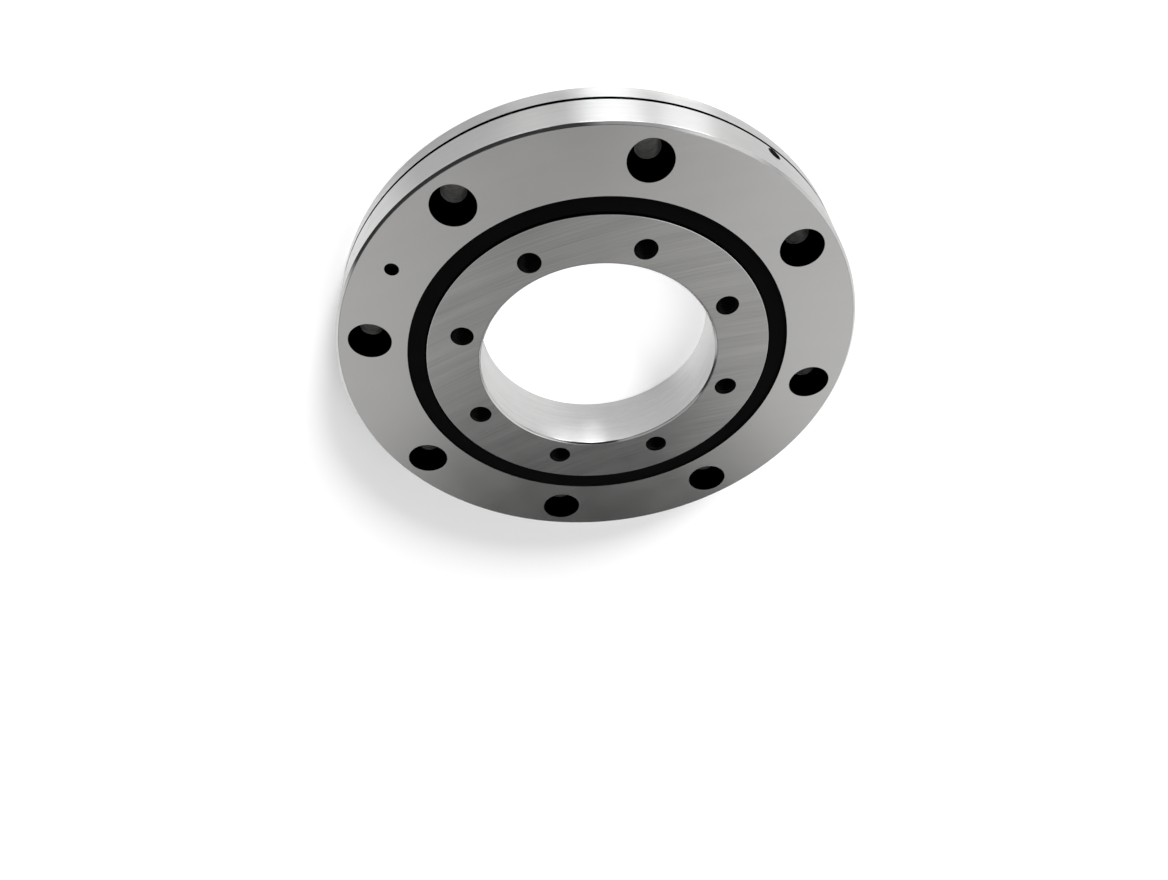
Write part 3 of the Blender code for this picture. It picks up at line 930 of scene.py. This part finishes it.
def floor_glow_and_painted_light(surface, place):
    """The floor's own light, seen by the camera and mirrored by the metal, with painted light and painted
    reflections. Places in millimetres.
    """
    x, y = surface.parts(place)[:2]
    light = surface.add("ShaderNodeLightPath").outputs
    seen = surface.math("MAXIMUM", light["Is Camera Ray"], light["Is Glossy Ray"])
    seen = surface.math("MAXIMUM", seen, light["Is Transmission Ray"])

    def painted_light_patch(centre_x, centre_y, inner, outer, level):
        from_x = surface.math("SUBTRACT", x, centre_x)
        from_y = surface.math("SUBTRACT", y, centre_y)
        return surface.spread(polar(surface, from_x, from_y)[0], level, 0.0, inner, outer, smooth=True)

    # Painted pool of light in the bore: the glow is 0.38 inside 26 mm of the axis, fading to an even 0.075
    # past 58 mm, and lifts the ring's shadow there
    middle = surface.spread(polar(surface, x, y)[0], 0.38, 0.075, 26.0, 58.0, smooth=True)
    strength = surface.math("MULTIPLY", seen, middle)
    # Painted reflections: patches of light that only the metal sees, beside the rim's left side and in the
    # bore
    painted_reflection_beside_rim = painted_light_patch(-63.0, -35.0, 8.0, 30.0, 0.75)
    painted_reflection_in_bore = painted_light_patch(20.0, 15.0, 4.0, 17.0, 0.6)
    mirrored = surface.math("ADD", painted_reflection_beside_rim, painted_reflection_in_bore)
    strength = surface.math("MULTIPLY_ADD", light["Is Glossy Ray"], mirrored, strength)
    # Painted light on the near side, seen by the camera alone, which lightens the contact shadow there
    toward_front = surface.math("MULTIPLY_ADD", x, -0.88, surface.math("MULTIPLY", y, 0.47))
    front = surface.spread(toward_front, 0.0, 0.16, -45.0, 40.0, smooth=True)
    return surface.math("MULTIPLY_ADD", light["Is Camera Ray"], front, strength)


def make_floor():
    """Pale paper that takes the shadow, with a light of its own as the picture's background and painted
    light over its shadows.
    """
    surface = new_surface("floor_paper")
    place = millimetres(surface)
    cloud = surface.noise(place, 0.004)
    colour = surface.tint(cloud, (0.86, 0.86, 0.86), (0.88, 0.88, 0.88))
    fibre = surface.noise(place, 1.5, 3.0, 0.6)
    completed(surface, 0.0, colour, 0.9, fibre, 0.01 * MM, **{"Specular IOR Level": 0.0})
    glow = surface.add("ShaderNodeEmission")
    glow.inputs["Color"].default_value = (1.0, 1.0, 1.0, 1.0)
    surface.feed(glow.inputs["Strength"], floor_glow_and_painted_light(surface, place))
    mix = surface.add("ShaderNodeAddShader")
    surface.feed(mix.inputs[0], surface.tree.nodes["Principled BSDF"].outputs[0])
    surface.feed(mix.inputs[1], glow.outputs[0])
    surface.feed(surface.tree.nodes["Material Output"].inputs["Surface"], mix.outputs[0])
    disc = bmesh.new()
    bmesh.ops.create_circle(disc, cap_ends=True, segments=FLOOR_STEPS, radius=FLOOR_RADIUS)
    mesh = bpy.data.meshes.new("floor")
    disc.to_mesh(mesh)
    disc.free()
    floor = dressed(linked("floor", mesh), [surface.owner])


def make_world():
    """A soft studio of lights and dark cards. The camera sees it white."""
    world = bpy.data.worlds.new("studio")
    bpy.context.scene.world = world
    surface = Surface(world)
    direction = surface.place["Generated"]

    def lobe(azimuth, elevation, inner, outer):
        node = surface.add("ShaderNodeVectorMath", operation="DOT_PRODUCT")
        surface.feed(node.inputs[0], direction)
        node.inputs[1].default_value = heading(azimuth, elevation)
        near = math.cos(inner * DEGREE)
        far = math.cos(outer * DEGREE)
        return surface.spread(node.outputs["Value"], 0.0, 1.0, far, near, smooth=True)

    level = blended(surface, *[(strength, lobe(*shape)) for strength, *shape in STUDIO])
    level = surface.math("MAXIMUM", surface.math("ADD", level, STUDIO_LEVEL), STUDIO_LEAST)
    strength = surface.add("ShaderNodeMix", data_type="FLOAT")
    surface.feed(strength.inputs["Factor"], surface.add("ShaderNodeLightPath").outputs["Is Camera Ray"])
    surface.feed(strength.inputs["A"], level)
    surface.feed(strength.inputs["B"], 1.0)
    background = surface.tree.nodes["Background"]
    background.inputs["Color"].default_value = (1.0, 1.0, 1.0, 1.0)
    surface.feed(background.inputs["Strength"], strength.outputs["Result"])


def make_lamp(name, azimuth, elevation, spread, energy):
    """A soft lamp for the floor's light and shadow, which the metal doesn't mirror."""
    lamp = bpy.data.lights.new(name, "SUN")
    lamp.energy = energy
    lamp.angle = spread * DEGREE
    thing = linked(name, lamp)
    thing.rotation_euler = heading(azimuth, elevation).to_track_quat("Z", "Y").to_euler()
    thing.visible_glossy = False


def make_camera():
    """The photograph's camera: its place, aim and roll round the aim."""
    camera = bpy.data.cameras.new("camera")
    camera.sensor_width = 36.0
    camera.sensor_fit = "HORIZONTAL"
    camera.lens = LENS
    camera.clip_start = 0.005
    camera.clip_end = 20.0
    thing = linked("camera", camera)
    aim = heading(AIM_AZIMUTH, AIM_ELEVATION).to_track_quat("-Z", "Y").to_matrix().to_4x4()
    roll = Matrix.Rotation(AIM_ROLL * DEGREE, 4, "Z")
    thing.matrix_world = Matrix.Translation(CAMERA_PLACE) @ aim @ roll
    bpy.context.scene.camera = thing


make_floor()
make_world()
make_lamp("shadow_lamp", azimuth=124, elevation=20, spread=14, energy=3.5)
make_lamp("top_lamp", azimuth=100, elevation=72, spread=40, energy=0.15)
make_camera()
bpy.context.scene.view_settings.view_transform = "Standard"
